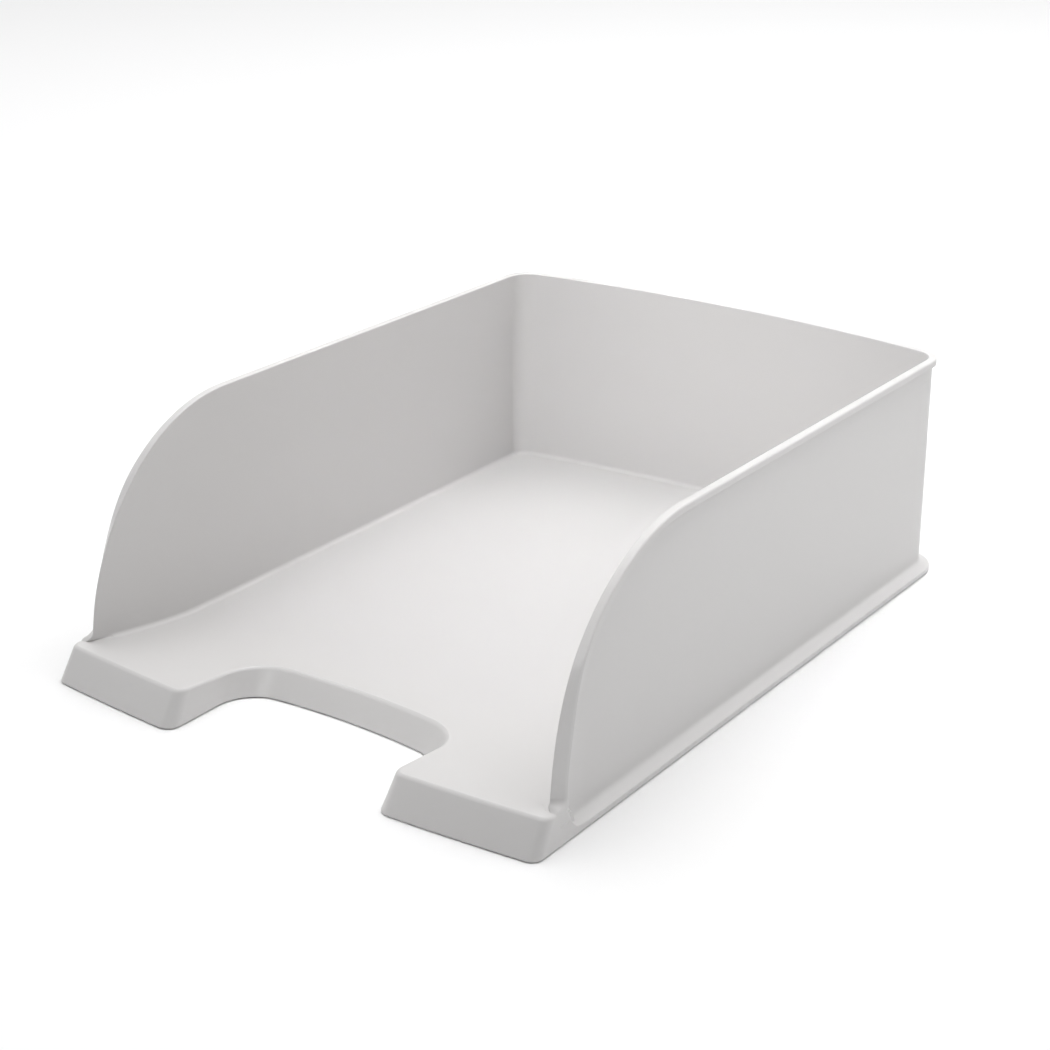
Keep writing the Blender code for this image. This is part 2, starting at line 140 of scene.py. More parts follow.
stations = {
    "notchArc": 22,
    "notchInner": 20,
    "notchSide": 14,
    "mouth": 14,
    "apron": 54,
    "corner": 14,
    "beforeFoot": 2,
    "blend": 20,
    "foot": 34,
    "sweep": 40,
    "straight": 21,
    "backCorner": 12,
    "back": 16,
}

shiftY = cadBox[1][1] * 1000.0 - tray["backApex"]


def toMetres(x, y, z):
    # moves y from the front edge to the frame's origin and turns millimetres into metres
    return np.stack([x, y + shiftY, z], axis=-1) * 0.001


def smoothStep(t):
    # 3t^2 - 2t^3 between 0 and 1
    t = np.clip(t, 0.0, 1.0)
    return t * t * (3.0 - 2.0 * t)


def smoothMin(a, b, blend):
    # lesser of two lengths with the crease between them rounded over the blend length
    share = np.clip(0.5 + 0.5 * (b - a) / blend, 0.0, 1.0)
    return b + (a - b) * share - blend * share * (1.0 - share)


def softAbove(u, k):
    # half of u plus the root of u^2 + k^2: 0 far below zero, u far above it, rounded over k
    return 0.5 * (u + np.sqrt(u * u + k * k))


def floorHeight(x, y):
    # level at the back, one smooth rise over the ramp's length towards the apron and the notch
    x = np.abs(x)
    toFront = y - tray["frontLean"] - tray["frontBow"] * (x / tray["baseHalf"]) ** 2
    rear = tray["frontLean"] + notch["depth"]
    rear = rear - notch["bow"] * np.minimum(x / notch["half"], 1.0) ** 2
    beside = np.maximum(x - (notch["half"] - notch["innerRound"]), 0.0)
    behind = np.maximum(y - (rear - notch["innerRound"]), 0.0)
    toNotch = np.hypot(beside, behind) - notch["innerRound"] + ramp["notchOffset"]
    away = smoothMin(toFront, toNotch, ramp["blend"])
    full = smoothStep(1.0 - ramp["lead"] / ramp["length"])
    rise = smoothStep(1.0 - (away + ramp["lead"]) / ramp["length"]) / full
    return tray["floorLevel"] + (tray["apronTop"] - tray["floorLevel"]) * np.minimum(rise, 1.0)


def roundCorner(before, corner, after, radius, count):
    # arc of the given radius that touches both straight runs out of the corner
    before, corner, after = (np.array(p, float) for p in (before, corner, after))
    a = (before - corner) / np.linalg.norm(before - corner)
    b = (after - corner) / np.linalg.norm(after - corner)
    half = np.arccos(np.clip(a @ b, -1.0, 1.0)) / 2
    middle = (a + b) / np.linalg.norm(a + b)
    centre = corner + middle * radius / np.sin(half)
    first = corner + a * radius / np.tan(half) - centre
    last = corner + b * radius / np.tan(half) - centre
    start = np.arctan2(first[1], first[0])
    turn = (np.arctan2(last[1], last[0]) - start + np.pi) % (2 * np.pi) - np.pi
    angles = start + turn * np.linspace(0.0, 1.0, count + 1)
    return centre + radius * np.stack([np.cos(angles), np.sin(angles)], axis=1)


def between(a, b, count):
    # points after a and before b, evenly spaced
    share = np.arange(1, count) / count
    return np.array(a) + (np.array(b) - np.array(a)) * share[:, None]


def sweepCurve():
    # side view of a wall's edge: the quarter circle of the foot, then the quarter ellipse.
    # Gives the edge's points and the unit direction from each into the wall.
    reach = sweep["start"] - sweep["foot"]
    rise = tray["height"] - sweep["centreZ"]

    def onEllipse(angle):
        point = np.stack(
            [sweep["start"] - reach * np.cos(angle), sweep["centreZ"] + rise * np.sin(angle)], -1
        )
        inward = np.stack([np.cos(angle) / reach, -np.sin(angle) / rise], -1)
        return point, inward / np.linalg.norm(inward, axis=-1, keepdims=True)

    trial = np.linspace(0.0, np.pi / 4, 4001)
    point, inward = onEllipse(trial)
    centres = point - inward * sweep["footRound"]
    touch = np.interp(tray["apronTop"] + sweep["footRound"], centres[:, 1], trial)
    point, inward = onEllipse(np.array([touch]))
    centre = point[0] - inward[0] * sweep["footRound"]
    last = np.arctan2(inward[0, 1], inward[0, 0])
    angles = np.linspace(-np.pi / 2, last, stations["foot"] + 1)
    footIn = np.stack([np.cos(angles), np.sin(angles)], -1)
    foot = centre + sweep["footRound"] * footIn
    fine = np.linspace(touch, np.pi / 2, 2000)
    finePoints, _ = onEllipse(fine)
    run = np.concatenate([[0], np.cumsum(np.linalg.norm(np.diff(finePoints, axis=0), axis=1))])
    share = np.linspace(0.0, 1.0, stations["sweep"] + 1)[1:]
    edge, edgeIn = onEllipse(np.interp(share * run[-1], run, fine))
    return np.concatenate([foot, edge]), np.concatenate([footIn, edgeIn])


def halfPath():
    # Stations of the right half, from the notch's middle round the front corner to the back's
    # middle. Each has its base point, outward direction, the wall's edge point in side view with
    # the direction into the wall, whether it is on the side or in the notch, and its share of wall
    # against apron.
    bow = tray["frontBow"] / tray["baseHalf"] ** 2
    notchX = np.linspace(0.0, notch["arcHalf"], stations["notchArc"] + 1)
    notchY = notch["depth"] - notch["bow"] * (notchX / notch["half"]) ** 2
    arc = np.stack([notchX, notchY], 1)
    side = notch["half"]
    innerCorner = (side, notch["depth"] - notch["bow"])
    mouth = (side, bow * side**2)
    inner = roundCorner(arc[-1], innerCorner, mouth, notch["innerRound"], stations["notchInner"])
    beyond = (side + 30, bow * (side + 30) ** 2)
    opening = roundCorner(innerCorner, mouth, beyond, notch["mouthRound"], stations["mouth"])
    edge = tray["baseHalf"]
    front = roundCorner(
        (edge - 12, bow * (edge - 12) ** 2),
        (edge, tray["frontBow"]),
        (edge, 100.0),
        tray["frontCorner"],
        stations["corner"],
    )
    apronX = np.linspace(opening[-1, 0], front[0, 0], stations["apron"] + 1)[1:-1]
    apron = np.stack([apronX, bow * apronX**2], 1)
    edgePoints, edgeIn = sweepCurve()
    sideY = edgePoints[:, 0] + sweep["wallReach"] * edgeIn[:, 0]
    ahead = between((front[-1, 1],), (edgePoints[0, 0],), stations["beforeFoot"])[:, 0]
    backBow = tray["backBow"] / tray["baseHalf"] ** 2
    nearX = 104.0  # on the bowed back, past the corner's rounding
    rear = roundCorner(
        (edge, 200.0),
        (edge, tray["backApex"] - tray["backBow"]),
        (nearX, tray["backApex"] - backBow * nearX**2),
        tray["backCorner"],
        stations["backCorner"],
    )
    straight = between((sideY[-1],), (rear[0, 1],), stations["straight"])[:, 0]
    backX = np.linspace(rear[-1, 0], 0.0, stations["back"] + 1)[1:]
    back = np.stack([backX, tray["backApex"] - backBow * backX**2], 1)
    sideRun = np.concatenate([ahead, sideY, straight])
    sidePoints = np.stack([np.full_like(sideRun, edge), sideRun], 1)
    notchSide = between(inner[-1], opening[0], stations["notchSide"])
    base = np.concatenate([arc, inner, notchSide, opening, apron, front, sidePoints, rear, back])
    keep = np.concatenate([[True], np.linalg.norm(np.diff(base, axis=0), axis=1) > 1e-6])
    count = len(base)
    first = count - len(back) - len(rear) - len(sidePoints)
    last = count - len(back) - len(rear)
    edgeY = base[:, 1].copy()
    edgeZ = np.full(count, tray["height"])
    inY = np.zeros(count)
    inZ = np.full(count, -1.0)
    lead = first + len(ahead)
    swept = slice(lead, lead + len(edgePoints))
    edgeY[swept], edgeZ[swept] = edgePoints[:, 0], edgePoints[:, 1]
    inY[swept], inZ[swept] = edgeIn[:, 0], edgeIn[:, 1]
    edgeZ[:lead] = tray["apronTop"]
    isSide = np.zeros(count, bool)
    isSide[first:last] = True
    isNotch = np.arange(count) < len(arc) + len(inner) + len(notchSide) + len(opening)
    wall = np.zeros(count)
    wall[lead:] = 1.0
    soften = stations["blend"]
    wall[first : first + soften] = smoothStep(np.arange(soften) / soften)
    base, edgeY, edgeZ, inY, inZ = (v[keep] for v in (base, edgeY, edgeZ, inY, inZ))
    isSide, isNotch, wall = isSide[keep], isNotch[keep], wall[keep]
    mirrored = np.concatenate([base[1:2] * [-1, 1], base, base[-2:-1] * [-1, 1]])
    along = mirrored[2:] - mirrored[:-2]
    along /= np.linalg.norm(along, axis=1, keepdims=True)
    out = np.stack([along[:, 1], -along[:, 0]], 1)
    return base, out, edgeY, edgeZ, inY, inZ, isSide, isNotch, wall


def panelBoundary(edgeY, edgeZ, inY, inZ, depth, isSide):
    # side view of the recessed panel's front and top edge: the wall's edge moved inwards by the
    # lip's depth, then down in front to the ledge with a rounded corner
    steep = isSide & (edgeZ > sweep["steepFrom"])
    y = edgeY[steep] + depth[steep] * inY[steep]
    z = edgeZ[steep] + depth[steep] * inZ[steep]
    lower = [[60.0, 1.0], [40.0, 2.2], [34.0, 3.6], [31.6, 4.8], [29.8, 6.8]]
    lower += [[28.7, 9.5], [28.3, 13.0], [28.5, 18.0], [29.1, 24.5]]
    upper = np.stack([y, z], 1)
    end = np.array([[400.0, tray["height"] - depth[-1]]])
    return np.concatenate([lower, upper, end])


def insideBoundary(y, z, line):
    # signed distance from a line of points, positive on its right as it runs up and back
    a, b = line[:-1], line[1:]
    step = b - a
    fromA = np.stack([y, z], -1)[..., None, :] - a
    share = np.clip((fromA * step).sum(-1) / (step**2).sum(-1), 0.0, 1.0)
    gap = fromA - share[..., None] * step
    length = np.linalg.norm(gap, axis=-1)
    nearest = length.argmin(-1)[..., None]
    cross = step[:, 1] * fromA[..., 0] - step[:, 0] * fromA[..., 1]
    sign = np.sign(np.take_along_axis(cross, nearest, -1)[..., 0])
    return np.take_along_axis(length, nearest, -1)[..., 0] * sign


def lerp(a, b, share):
    # straight mix: a at share 0, b at share 1
    return a + (b - a) * share


def trayGrid():
    # Cross-section of the rim, wall, ledge, skirt and floor edge at every station: each row has an
    # inward distance from the base outline, a place along the side, and a height.
    base, out, edgeY, edgeZ, inY, inZ, isSide, isNotch, wall = halfPath()
    count = len(base)
    col = lambda v: np.asarray(v, float)[:, None]
    # the apron and the notch lean back together, and a little to the side
    sideways = np.where(isNotch, notch["sideLean"], tray["sideLean"]) * out[:, 0]
    lean = np.stack([-sideways, np.full(count, tray["frontLean"])], 1)
    leanOver = tray["apronTop"] - tray["skirtBottom"]
    # along the side the apron's top runs from its corner to where the wall has risen
    first = int(np.argmax(isSide))
    last = first + stations["blend"]
    reached = np.linspace(base[first - 1, 1] + tray["frontLean"] + 0.3, edgeY[last], last - first)
    lean[first:last, 1] = reached - base[first:last, 1]
    lean[last:, 1] = 0.0
    draft = tray["sideDraft"] * np.abs(out[:, 0]) + tray["backDraft"] * np.abs(out[:, 1])
    slant = sweep["slant"] * (
        1 - smoothStep((edgeZ - sweep["slantFullZ"]) / (sweep["slantEndZ"] - sweep["slantFullZ"]))
    )
    slant = slant * smoothStep((edgeZ - tray["apronTop"]) / sweep["footRound"]) * isSide
    lipDepth = lerp(lip["height"], lip["frontHeight"], slant / sweep["slant"])
    boundary = panelBoundary(edgeY, edgeZ, inY, inZ, slant + lipDepth, isSide)

    def flareAt(y):
        share = (tray["flareFrom"] - y) / (tray["flareFrom"] - tray["flareTo"])
        return tray["flare"] * np.clip(share, 0.0, 1.0) ** 2 * col(isSide)

    def innerAt(y, z):
        share = 1 - (z - tray["floorLevel"]) / (tray["height"] - tray["floorLevel"])
        return tray["innerIn"] + col(draft) * share - flareAt(y)

    def outerAt(y, z):
        # lip and front block outside the panel's boundary, panel and ledge inside it
        share = (tray["height"] - z) / tray["height"]
        flat = tray["panelIn"] - tray["panelDraft"] * share - flareAt(y)
        block = tray["sideLean"] * (z - tray["skirtBottom"]) / leanOver
        high = tray["lipIn"] - flareAt(y)
        proud = lerp(block, high, smoothStep((z - tray["blockTo"]) / tray["blockFade"]))
        proud = np.where(col(isSide), proud, high)
        top = ledge["edge"] + ledge["rise"]
        hollow = flat - softAbove((top - z) * ledge["slope"] / ledge["rise"], ledge["fillet"])
        hollow = softAbove(hollow, ledge["edgeRound"])
        inside = insideBoundary(y, z, boundary)
        inside = np.where(col(isSide), inside, tray["height"] - lip["height"] - z)
        # the step from lip to panel is wider low down on the sides
        width = np.where(col(isSide), lerp(0.45, 1.5, smoothStep((60.0 - z) / 30.0)), 0.45)
        return lerp(proud, hollow, smoothStep(inside / width))

    rows = []

    def add(inward, y, z, spread=0.0):
        shape = (count, 1)
        rows.append([np.broadcast_to(v, shape) for v in (inward, y, z, spread)])

    baseY = col(base[:, 1])
    edgeYc, edgeZc, inYc, inZc = col(edgeY), col(edgeZ), col(inY), col(inZ)
    wallFootZ = floorHeight(tray["baseHalf"] - innerAt(baseY, tray["floorLevel"]), baseY)
    wallFootZ = np.where(col(isSide), wallFootZ, tray["floorLevel"])
    heightLeft = np.maximum(edgeZc - wallFootZ, 0.02)
    fillet = np.minimum(tray["floorFillet"], heightLeft * 0.4)

    # wall: floor, fillet and inner face
    apronRows = []  # inward distances of the same rows on the apron, past its top edge
    footIn = innerAt(baseY, wallFootZ)
    for k, d in enumerate((4.5, 3.2)):
        add(footIn + d, baseY, wallFootZ, 1.0)
        apronRows.append(10.3 - 2.6 * k)
    turn = np.linspace(0.0, np.pi / 2, 6)
    for k, angle in enumerate(turn):
        add(
            footIn + fillet * (1 - np.sin(angle)),
            baseY,
            wallFootZ + fillet * (1 - np.cos(angle)),
            1.0 - k / 5,
        )
        apronRows.append(5.4 - 0.42 * k)
    bend = np.minimum(9.0, heightLeft * 0.5)
    lowY, lowZ = baseY, wallFootZ + fillet
    for k, share in enumerate((0.08, 0.25, 0.45, 0.65, 0.82, 0.94)):
        # a quadratic curve from the floor to the edge that leaves the edge squarely
        midY, midZ = edgeYc + bend * inYc, edgeZc + bend * inZc
        topY, topZ = edgeYc + lip["innerRound"] * inYc, edgeZc + lip["innerRound"] * inZc
        y = lowY * (1 - share) ** 2 + 2 * midY * share * (1 - share) + topY * share**2
        z = lowZ * (1 - share) ** 2 + 2 * midZ * share * (1 - share) + topZ * share**2
        add(innerAt(y, z), y, z)
        apronRows.append(3.2 - 0.12 * k)

    # rim: inner rounding, flat top with its slant, outer rounding
    slantC = col(slant)
    inEdge = innerAt(edgeYc, edgeZc)
    outEdge = tray["lipIn"] - flareAt(edgeYc)
    blockEdge = tray["sideLean"] * (edgeZc - tray["skirtBottom"]) / leanOver
    aboveBlock = smoothStep((edgeZc - tray["blockTo"]) / tray["blockFade"])
    outEdge = np.where(col(isSide), lerp(blockEdge, outEdge, aboveBlock), outEdge)
    wide = inEdge - outEdge
    r = lip["innerRound"]
    for k, angle in enumerate(np.linspace(0.0, np.pi / 2, 5)):
        t = r * (1 - np.sin(angle)) * np.minimum(1.0, heightLeft)
        inward = inEdge - r * (1 - np.cos(angle))
        t = t + slantC * (inEdge - inward) / wide
        add(inward, edgeYc + t * inYc, edgeZc + t * inZc)
        apronRows.append(2.45 - 0.08 * k)
    for k, share in enumerate((0.1, 0.35, 0.6, 0.85, 1.0)):
        inward = lerp(inEdge - r, outEdge + lip["outerRound"], share)
        t = slantC * (inEdge - inward) / wide
        add(inward, edgeYc + t * inYc, edgeZc + t * inZc)
        apronRows.append(2.1 - 0.12 * k)
    r = lip["outerRound"]
    for angle in np.linspace(0.0, np.pi / 2, 7)[1:]:
        inward = outEdge + r * (1 - np.sin(angle))
        t = r * (1 - np.cos(angle)) + slantC * (inEdge - inward) / wide
        add(inward, edgeYc + t * inYc, edgeZc + t * inZc)
        apronRows.append(None)
    startT = slantC + r
    bound = slantC + col(lipDepth)
    far = sweep["wallReach"]
    table = [lerp(startT, bound - 0.12, s) for s in (0.3, 0.65, 1.0)]
    table += [bound + d for d in (0.0, 0.12, 0.24, 0.36, 0.5, 0.7, 1.0)]
    last = table[-1]
    table += [lerp(last, far, s) for s in (0.35, 0.7, 1.0)]
    for t in table:
        y, z = edgeYc + t * inYc, edgeZc + t * inZc
        add(outerAt(y, z), y, z)
        apronRows.append(None)
    highZ = edgeZc + far * inZc
    for share in (0.25, 0.5, 0.75, 0.92):
        z = lerp(highZ, 9.0, share)
        add(outerAt(baseY, z), baseY, z)
        apronRows.append(None)
    for z in (9.0, 8.2, 7.5, 6.9, 6.4, 5.9, 5.5, 5.1, 4.6, 4.1, 3.6, 3.2, 3.0, 2.85, 2.6, 1.6, 0.9):
        flatZ = np.full((count, 1), z)
        add(outerAt(baseY, flatZ), baseY, flatZ)
        apronRows.append(None)
    data = np.stack([np.concatenate([r[k] for r in rows], axis=1) for k in range(4)])
    inward, y, z, spread = data

    # apron: the same rows as a floor edge, a rounded top edge and a leaning face
    apIn = np.zeros_like(inward)
    apZ = np.zeros_like(inward)
    apSpread = np.zeros_like(inward)
    apLean = np.ones_like(inward)
    faceRows = [k for k, v in enumerate(apronRows) if v is None]
    for k, v in enumerate(apronRows):
        if v is not None:
            apIn[:, k] = v
            apSpread[:, k] = 1.0 if v > 2.5 else 0.0
    edgeR = tray["edgeRound"]
    topZ = floorHeight(base[:, 0] + lean[:, 0], base[:, 1] + lean[:, 1])
    rounding = np.linspace(0.0, np.pi / 2, 9)
    downTo = 0.9
    for n, k in enumerate(faceRows):
        if n < 8:
            angle = rounding[n + 1]
            apIn[:, k] = edgeR * (1 - np.sin(angle))
            apZ[:, k] = -edgeR * (1 - np.cos(angle))
            apLean[:, k] = 1 + apZ[:, k] / (topZ - tray["skirtBottom"])
        else:
            share = (n - 7) / (len(faceRows) - 8)
            faceZ = lerp(topZ - edgeR, downTo, share)
            apZ[:, k] = faceZ - topZ
            apLean[:, k] = (faceZ - tray["skirtBottom"]) / (topZ - tray["skirtBottom"])
    plan = base, out, isSide, isNotch, wall, lean
    return plan, (inward, y, z, spread), (apIn, apZ, apSpread, apLean, topZ, apronRows)


def buildTray():
    # the tray's outer and inner surface as one grid of points: wall and apron sections mixed by
    # each station's share of wall, then the underside's rows added on
    plan, wallRows, apronPart = trayGrid()
    base, out, isSide, isNotch, wall, lean = plan
    inward, y, z, spread = wallRows
    apIn, apZ, apSpread, apLean, topZ, apronRows = apronPart
    count = len(base)
    w = wall[:, None]
    inward = lerp(apIn, inward, w)
    shift = (y - base[:, 1:2]) * isSide[:, None] * w
    spread = lerp(apSpread, spread, w)
    # past a small depth the rows near a tight corner fan out towards the inside of the floor
    mouthY = tray["frontBow"] * (notch["half"] / tray["baseHalf"]) ** 2
    toFront = np.hypot(base[:, 0] - tray["baseHalf"], base[:, 1] - tray["frontBow"])
    toMouth = np.hypot(base[:, 0] - notch["half"], base[:, 1] - mouthY)
    near = np.clip(1 - (toFront - fan["frontFrom"]) / fan["frontReach"], 0.0, 1.0)
    flatSide = np.abs(out[:, 0]) > np.abs(out[:, 1])
    sidePull = np.stack([np.ones(count), -near], 1)
    frontPull = np.stack([near, -np.ones(count)], 1)
    pull = np.where(flatSide[:, None], sidePull, frontPull)
    q = np.where(((near > 0) & ~isNotch)[:, None], pull, out)
    q = np.where((toFront < fan["frontRound"])[:, None], np.array([1.0, -1.0]), q)
    nearMouth = np.clip(1 - (toMouth - fan["mouthFrom"]) / fan["mouthReach"], 0.0, 1.0)
    sidePull = np.stack([-np.ones(count), -nearMouth], 1)
    frontPull = np.stack([-nearMouth, -np.ones(count)], 1)
    sideOfNotch = isNotch & (out[:, 0] < -0.9)
    onApron = ~isNotch & (toMouth < fan["apronReach"]) & ~flatSide
    q = np.where((sideOfNotch & (nearMouth > 0))[:, None], sidePull, q)
    q = np.where(onApron[:, None], frontPull, q)
    q = np.where(((toMouth < fan["mouthRound"]) & isNotch)[:, None], -np.ones((count, 2)), q)
    limit = lerp(fan["limit"], np.maximum(fan["limit"], inward[:, 7]), wall)[:, None]

    def place(d, moved, fanned):
        # outline point, less the inward distance along its direction, less what is past the
        # limit along the fanned direction
        flat = np.where(fanned, np.minimum(d, limit), d)
        rest = np.where(fanned, np.maximum(d - limit, 0.0), 0.0)
        px = base[:, :1] - flat * out[:, :1] - rest * q[:, :1]
        py = base[:, 1:] - flat * out[:, 1:] - rest * q[:, 1:] + moved
        return px, py

    leaning = apLean * (1 - w)
    px, py = place(inward, shift, spread > 0)
    px = px + lean[:, :1] * leaning
    py = py + lean[:, 1:] * leaning
    apronZ = np.where(apZ == 0, floorHeight(px, py), topZ[:, None] + apZ)
    top = np.array([k for k, v in enumerate(apronRows) if v is not None])
    r = tray["edgeRound"]
    short = np.maximum(r - inward[:, top], 0)
    drop = np.where(short > 0, r - np.sqrt(np.maximum(r * r - short**2, 0.0)), 0)
    apronZ[:, top] = floorHeight(px[:, top], py[:, top]) - drop
    follow = 1 - np.arange(8) / 7.0
    footZ = z[:, :1]
    z[:, :8] += (floorHeight(px[:, :8], py[:, :8]) - footZ) * follow
    pz = lerp(apronZ, z, w)
    pz[:, 0] = floorHeight(px[:, 0], py[:, 0])

    # underside: bottom edge, skirt, stacking step, pocket wall and ceiling
    ringX, ringY, ringZ = px[:, 0], py[:, 0], pz[:, 0]
    ceiling = ringZ - tray["floorThick"]
    back = smoothStep((base[:, 1] - tray["rebateFrom"]) / 4.0) * wall
    step = lerp(ceiling - 0.2, np.full(count, tray["rebateTop"]), back)
    bottom = tray["skirtBottom"]
    under = []
    for d, zz in (
        (0.08, bottom + 0.12),
        (0.3, bottom),
        (tray["skirt"] - 0.25, bottom),
        (tray["skirt"], bottom + 0.25),
        (tray["skirt"] + 0.05, step - 0.3),
        (tray["skirt"] + 0.3, step),
        (tray["pocketIn"] - 0.3, step),
        (tray["pocketIn"], lerp(step, step + 0.3, back)),
        (tray["pocketIn"] + 0.1, np.maximum(ceiling - 0.3, step)),
    ):
        dd = np.full((count, 1), d)
        ux, uy = place(dd, 0.0, dd > fan["limit"])
        zz = np.broadcast_to(zz, (count,))
        part = (1 - wall) * (zz - bottom) / (topZ - bottom)
        under.append((ux[:, 0] + lean[:, 0] * part, uy[:, 0] + lean[:, 1] * part, zz))
    under.append((lerp(under[-1][0], ringX, 0.25), lerp(under[-1][1], ringY, 0.25), ceiling))
    under.append((ringX, ringY, ceiling))
    gx = np.concatenate([px] + [u[0][:, None] for u in under], axis=1)
    gy = np.concatenate([py] + [u[1][:, None] for u in under], axis=1)
    gz = np.concatenate([pz] + [u[2][:, None] for u in under], axis=1)
    return gx, gy, gz


def gridFaces(rows, cols, offset=0, flip=False):
    # quads of a grid whose vertices run along the columns first
    index = offset + np.arange(rows * cols).reshape(rows, cols)
    quads = np.stack([index[:-1, :-1], index[:-1, 1:], index[1:, 1:], index[1:, :-1]], -1)
    quads = quads.reshape(-1, 4)
    return quads[:, ::-1] if flip else quads


def floorPatch(gx, gy, drop, lines=30):
    # ruled surface between the front part and the rear part of the floor's edge ring
    half = (len(gx) - 1) // 2
    front = np.stack([gx[half::-1, 0], gy[half::-1, 0]], -1)
    rear = np.stack([gx[half:, 0], gy[half:, 0]], -1)
    share = np.linspace(0.0, 1.0, lines + 1) ** 1.35
    plan = front[:, None] + (rear - front)[:, None] * share[None, :, None]
    z = floorHeight(plan[..., 0], plan[..., 1])
    return plan[..., 0], plan[..., 1], z - drop


def meshFrom(name, parts):
    # several (vertices, quads) sets made one mesh, mirrored across the middle, doubles merged
    points, faces, offset = [], [], 0
    for xyz, quads in parts:
        for sign in (1.0, -1.0):
            copy = xyz * np.array([sign, 1.0, 1.0])
            points.append(copy)
            faces.append((quads if sign > 0 else quads[:, ::-1]) + offset)
            offset += len(copy)
    points = np.concatenate(points)
    faces = np.concatenate(faces)
    mesh = bpy.data.meshes.new(name)
    mesh.vertices.add(len(points))
    mesh.vertices.foreach_set("co", points.astype(np.float32).ravel())
    mesh.loops.add(faces.size)
    mesh.loops.foreach_set("vertex_index", faces.astype(np.int32).ravel())
    mesh.polygons.add(len(faces))
    mesh.polygons.foreach_set("loop_start", np.arange(0, faces.size, 4, dtype=np.int32))
    mesh.update(calc_edges=True)
    mesh.validate()
    work = bmesh.new()
    work.from_mesh(mesh)
    bmesh.ops.remove_doubles(work, verts=work.verts, dist=2e-6)
    bmesh.ops.dissolve_degenerate(work, edges=work.edges, dist=1e-6)
    work.to_mesh(mesh)
    work.free()
    mesh.shade_smooth()
    return mesh


def addPiece(name, mesh, body="root"):
    piece = bpy.data.objects.new(name, mesh)
    bpy.context.scene.collection.objects.link(piece)
    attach(piece, body)
    return piece


gx, gy, gz = buildTray()
shell = toMetres(gx, gy, gz)
parts = [(shell.reshape(-1, 3), gridFaces(*gx.shape))]
for drop, flip in ((0.0, False), (tray["floorThick"], True)):
    fx, fy, fz = floorPatch(gx, gy, drop)
    sheet = toMetres(fx, fy, fz)
    parts.append((sheet.reshape(-1, 3), gridFaces(*fx.shape, flip=flip)))
trayMesh = meshFrom("letterTray", parts)
trayPiece = addPiece("letterTray", trayMesh)
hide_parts("tray_body")
print("tray made:", len(trayMesh.polygons), "faces")

# underside, hidden in most views: stiffening ribs and the round seats of the pads
under = {
    "ribHalf": 0.8,
    "ribBottom": 2.8,
    "ribRound": 0.4,
    "crossAt": [56.7, 113.5, 170.2, 227.0, 283.7],
    "longAt": [22.9, 68.6],
    "crossFrom": [58.0, 0.0, 0.0, 0.0, 0.0],
    "crossEnd": 114.3,
    "longFrom": [59.0, 10.7],
    "longTo": 337.0,
    "padX": 92.8,
    "padFront": 40.0,
    "padBack": 299.47,
    "padRadius": 6.0,
    "padThick": 1.6,
    "seatGap": 0.3,
    "bossWall": 2.2,
    "bossBottom": 1.0,
}


def ribStrip(start, end, steps=40):
    # a thin wall along a straight line: rounded lower edge, top hidden in the floor's thickness
    run = np.linspace(0.0, 1.0, steps)[:, None]
    start, end = np.array(start, float), np.array(end, float)
    line = start + (end - start) * run
    sideways = np.array([end[1] - start[1], start[0] - end[0]])
    sideways = sideways / np.linalg.norm(sideways)
    h, low, r = under["ribHalf"], under["ribBottom"], under["ribRound"]
    bend = np.linspace(0.0, np.pi / 2, 4)
    right = h - r + r * np.cos(bend[1:])
    left = -(h - r) - r * np.sin(bend)
    across = np.concatenate([[h, h], right, left, [-h]])
    top = floorHeight(line[:, 0], line[:, 1]) - tray["floorThick"] * 0.5
    lower = np.concatenate([[low + r], low + r - r * np.sin(bend[1:]), low + r - r * np.cos(bend)])
    x = line[:, :1] + sideways[0] * across[None, :]
    y = line[:, 1:] + sideways[1] * across[None, :]
    z = np.concatenate([top[:, None], np.repeat(lower[None, :], steps, 0), top[:, None]], axis=1)
    return x, y, z


def turned(profile, centre, sides=48):
    # a profile of (radius, height) points carried round an upright axis
    angle = np.linspace(0.0, 2 * np.pi, sides + 1)[:, None]
    radius, height = np.array(profile, float).T
    x = centre[0] + radius[None, :] * np.cos(angle)
    y = centre[1] + radius[None, :] * np.sin(angle)
    return x, y, np.broadcast_to(height[None, :], x.shape)


def closedRing(grid, flip):
    x, y, z = grid
    return toMetres(x, y, z).reshape(-1, 3), gridFaces(*x.shape, flip=flip)


ribParts = []
for y, start in zip(under["crossAt"], under["crossFrom"]):
    ribParts.append(closedRing(ribStrip((start, y), (under["crossEnd"], y)), False))
for x, start in zip(under["longAt"], under["longFrom"]):
    ribParts.append(closedRing(ribStrip((x, start), (x, under["longTo"])), False))
seat = under["padRadius"] + under["seatGap"]
boss = seat + under["bossWall"]
low = under["bossBottom"]
seatTop = under["padThick"] + under["seatGap"]
for y in (under["padFront"], under["padBack"]):
    high = float(floorHeight(under["padX"] - boss, y + boss)) - 1.2
    profile = [(0.0, seatTop), (seat - 0.3, seatTop), (seat, seatTop - 0.2), (seat, low + 0.3)]
    profile += [(seat + 0.3, low), (boss - 0.5, low), (boss - 0.1, low + 0.2), (boss, low + 0.6)]
    profile += [(boss + 0.1, high)]
    ribParts.append(closedRing(turned(profile, (under["padX"], y)), True))
ribMesh = meshFrom("trayRibs", ribParts)
ribPiece = addPiece("trayRibs", ribMesh)
print("ribs and pad seats made:", len(ribMesh.polygons), "faces")

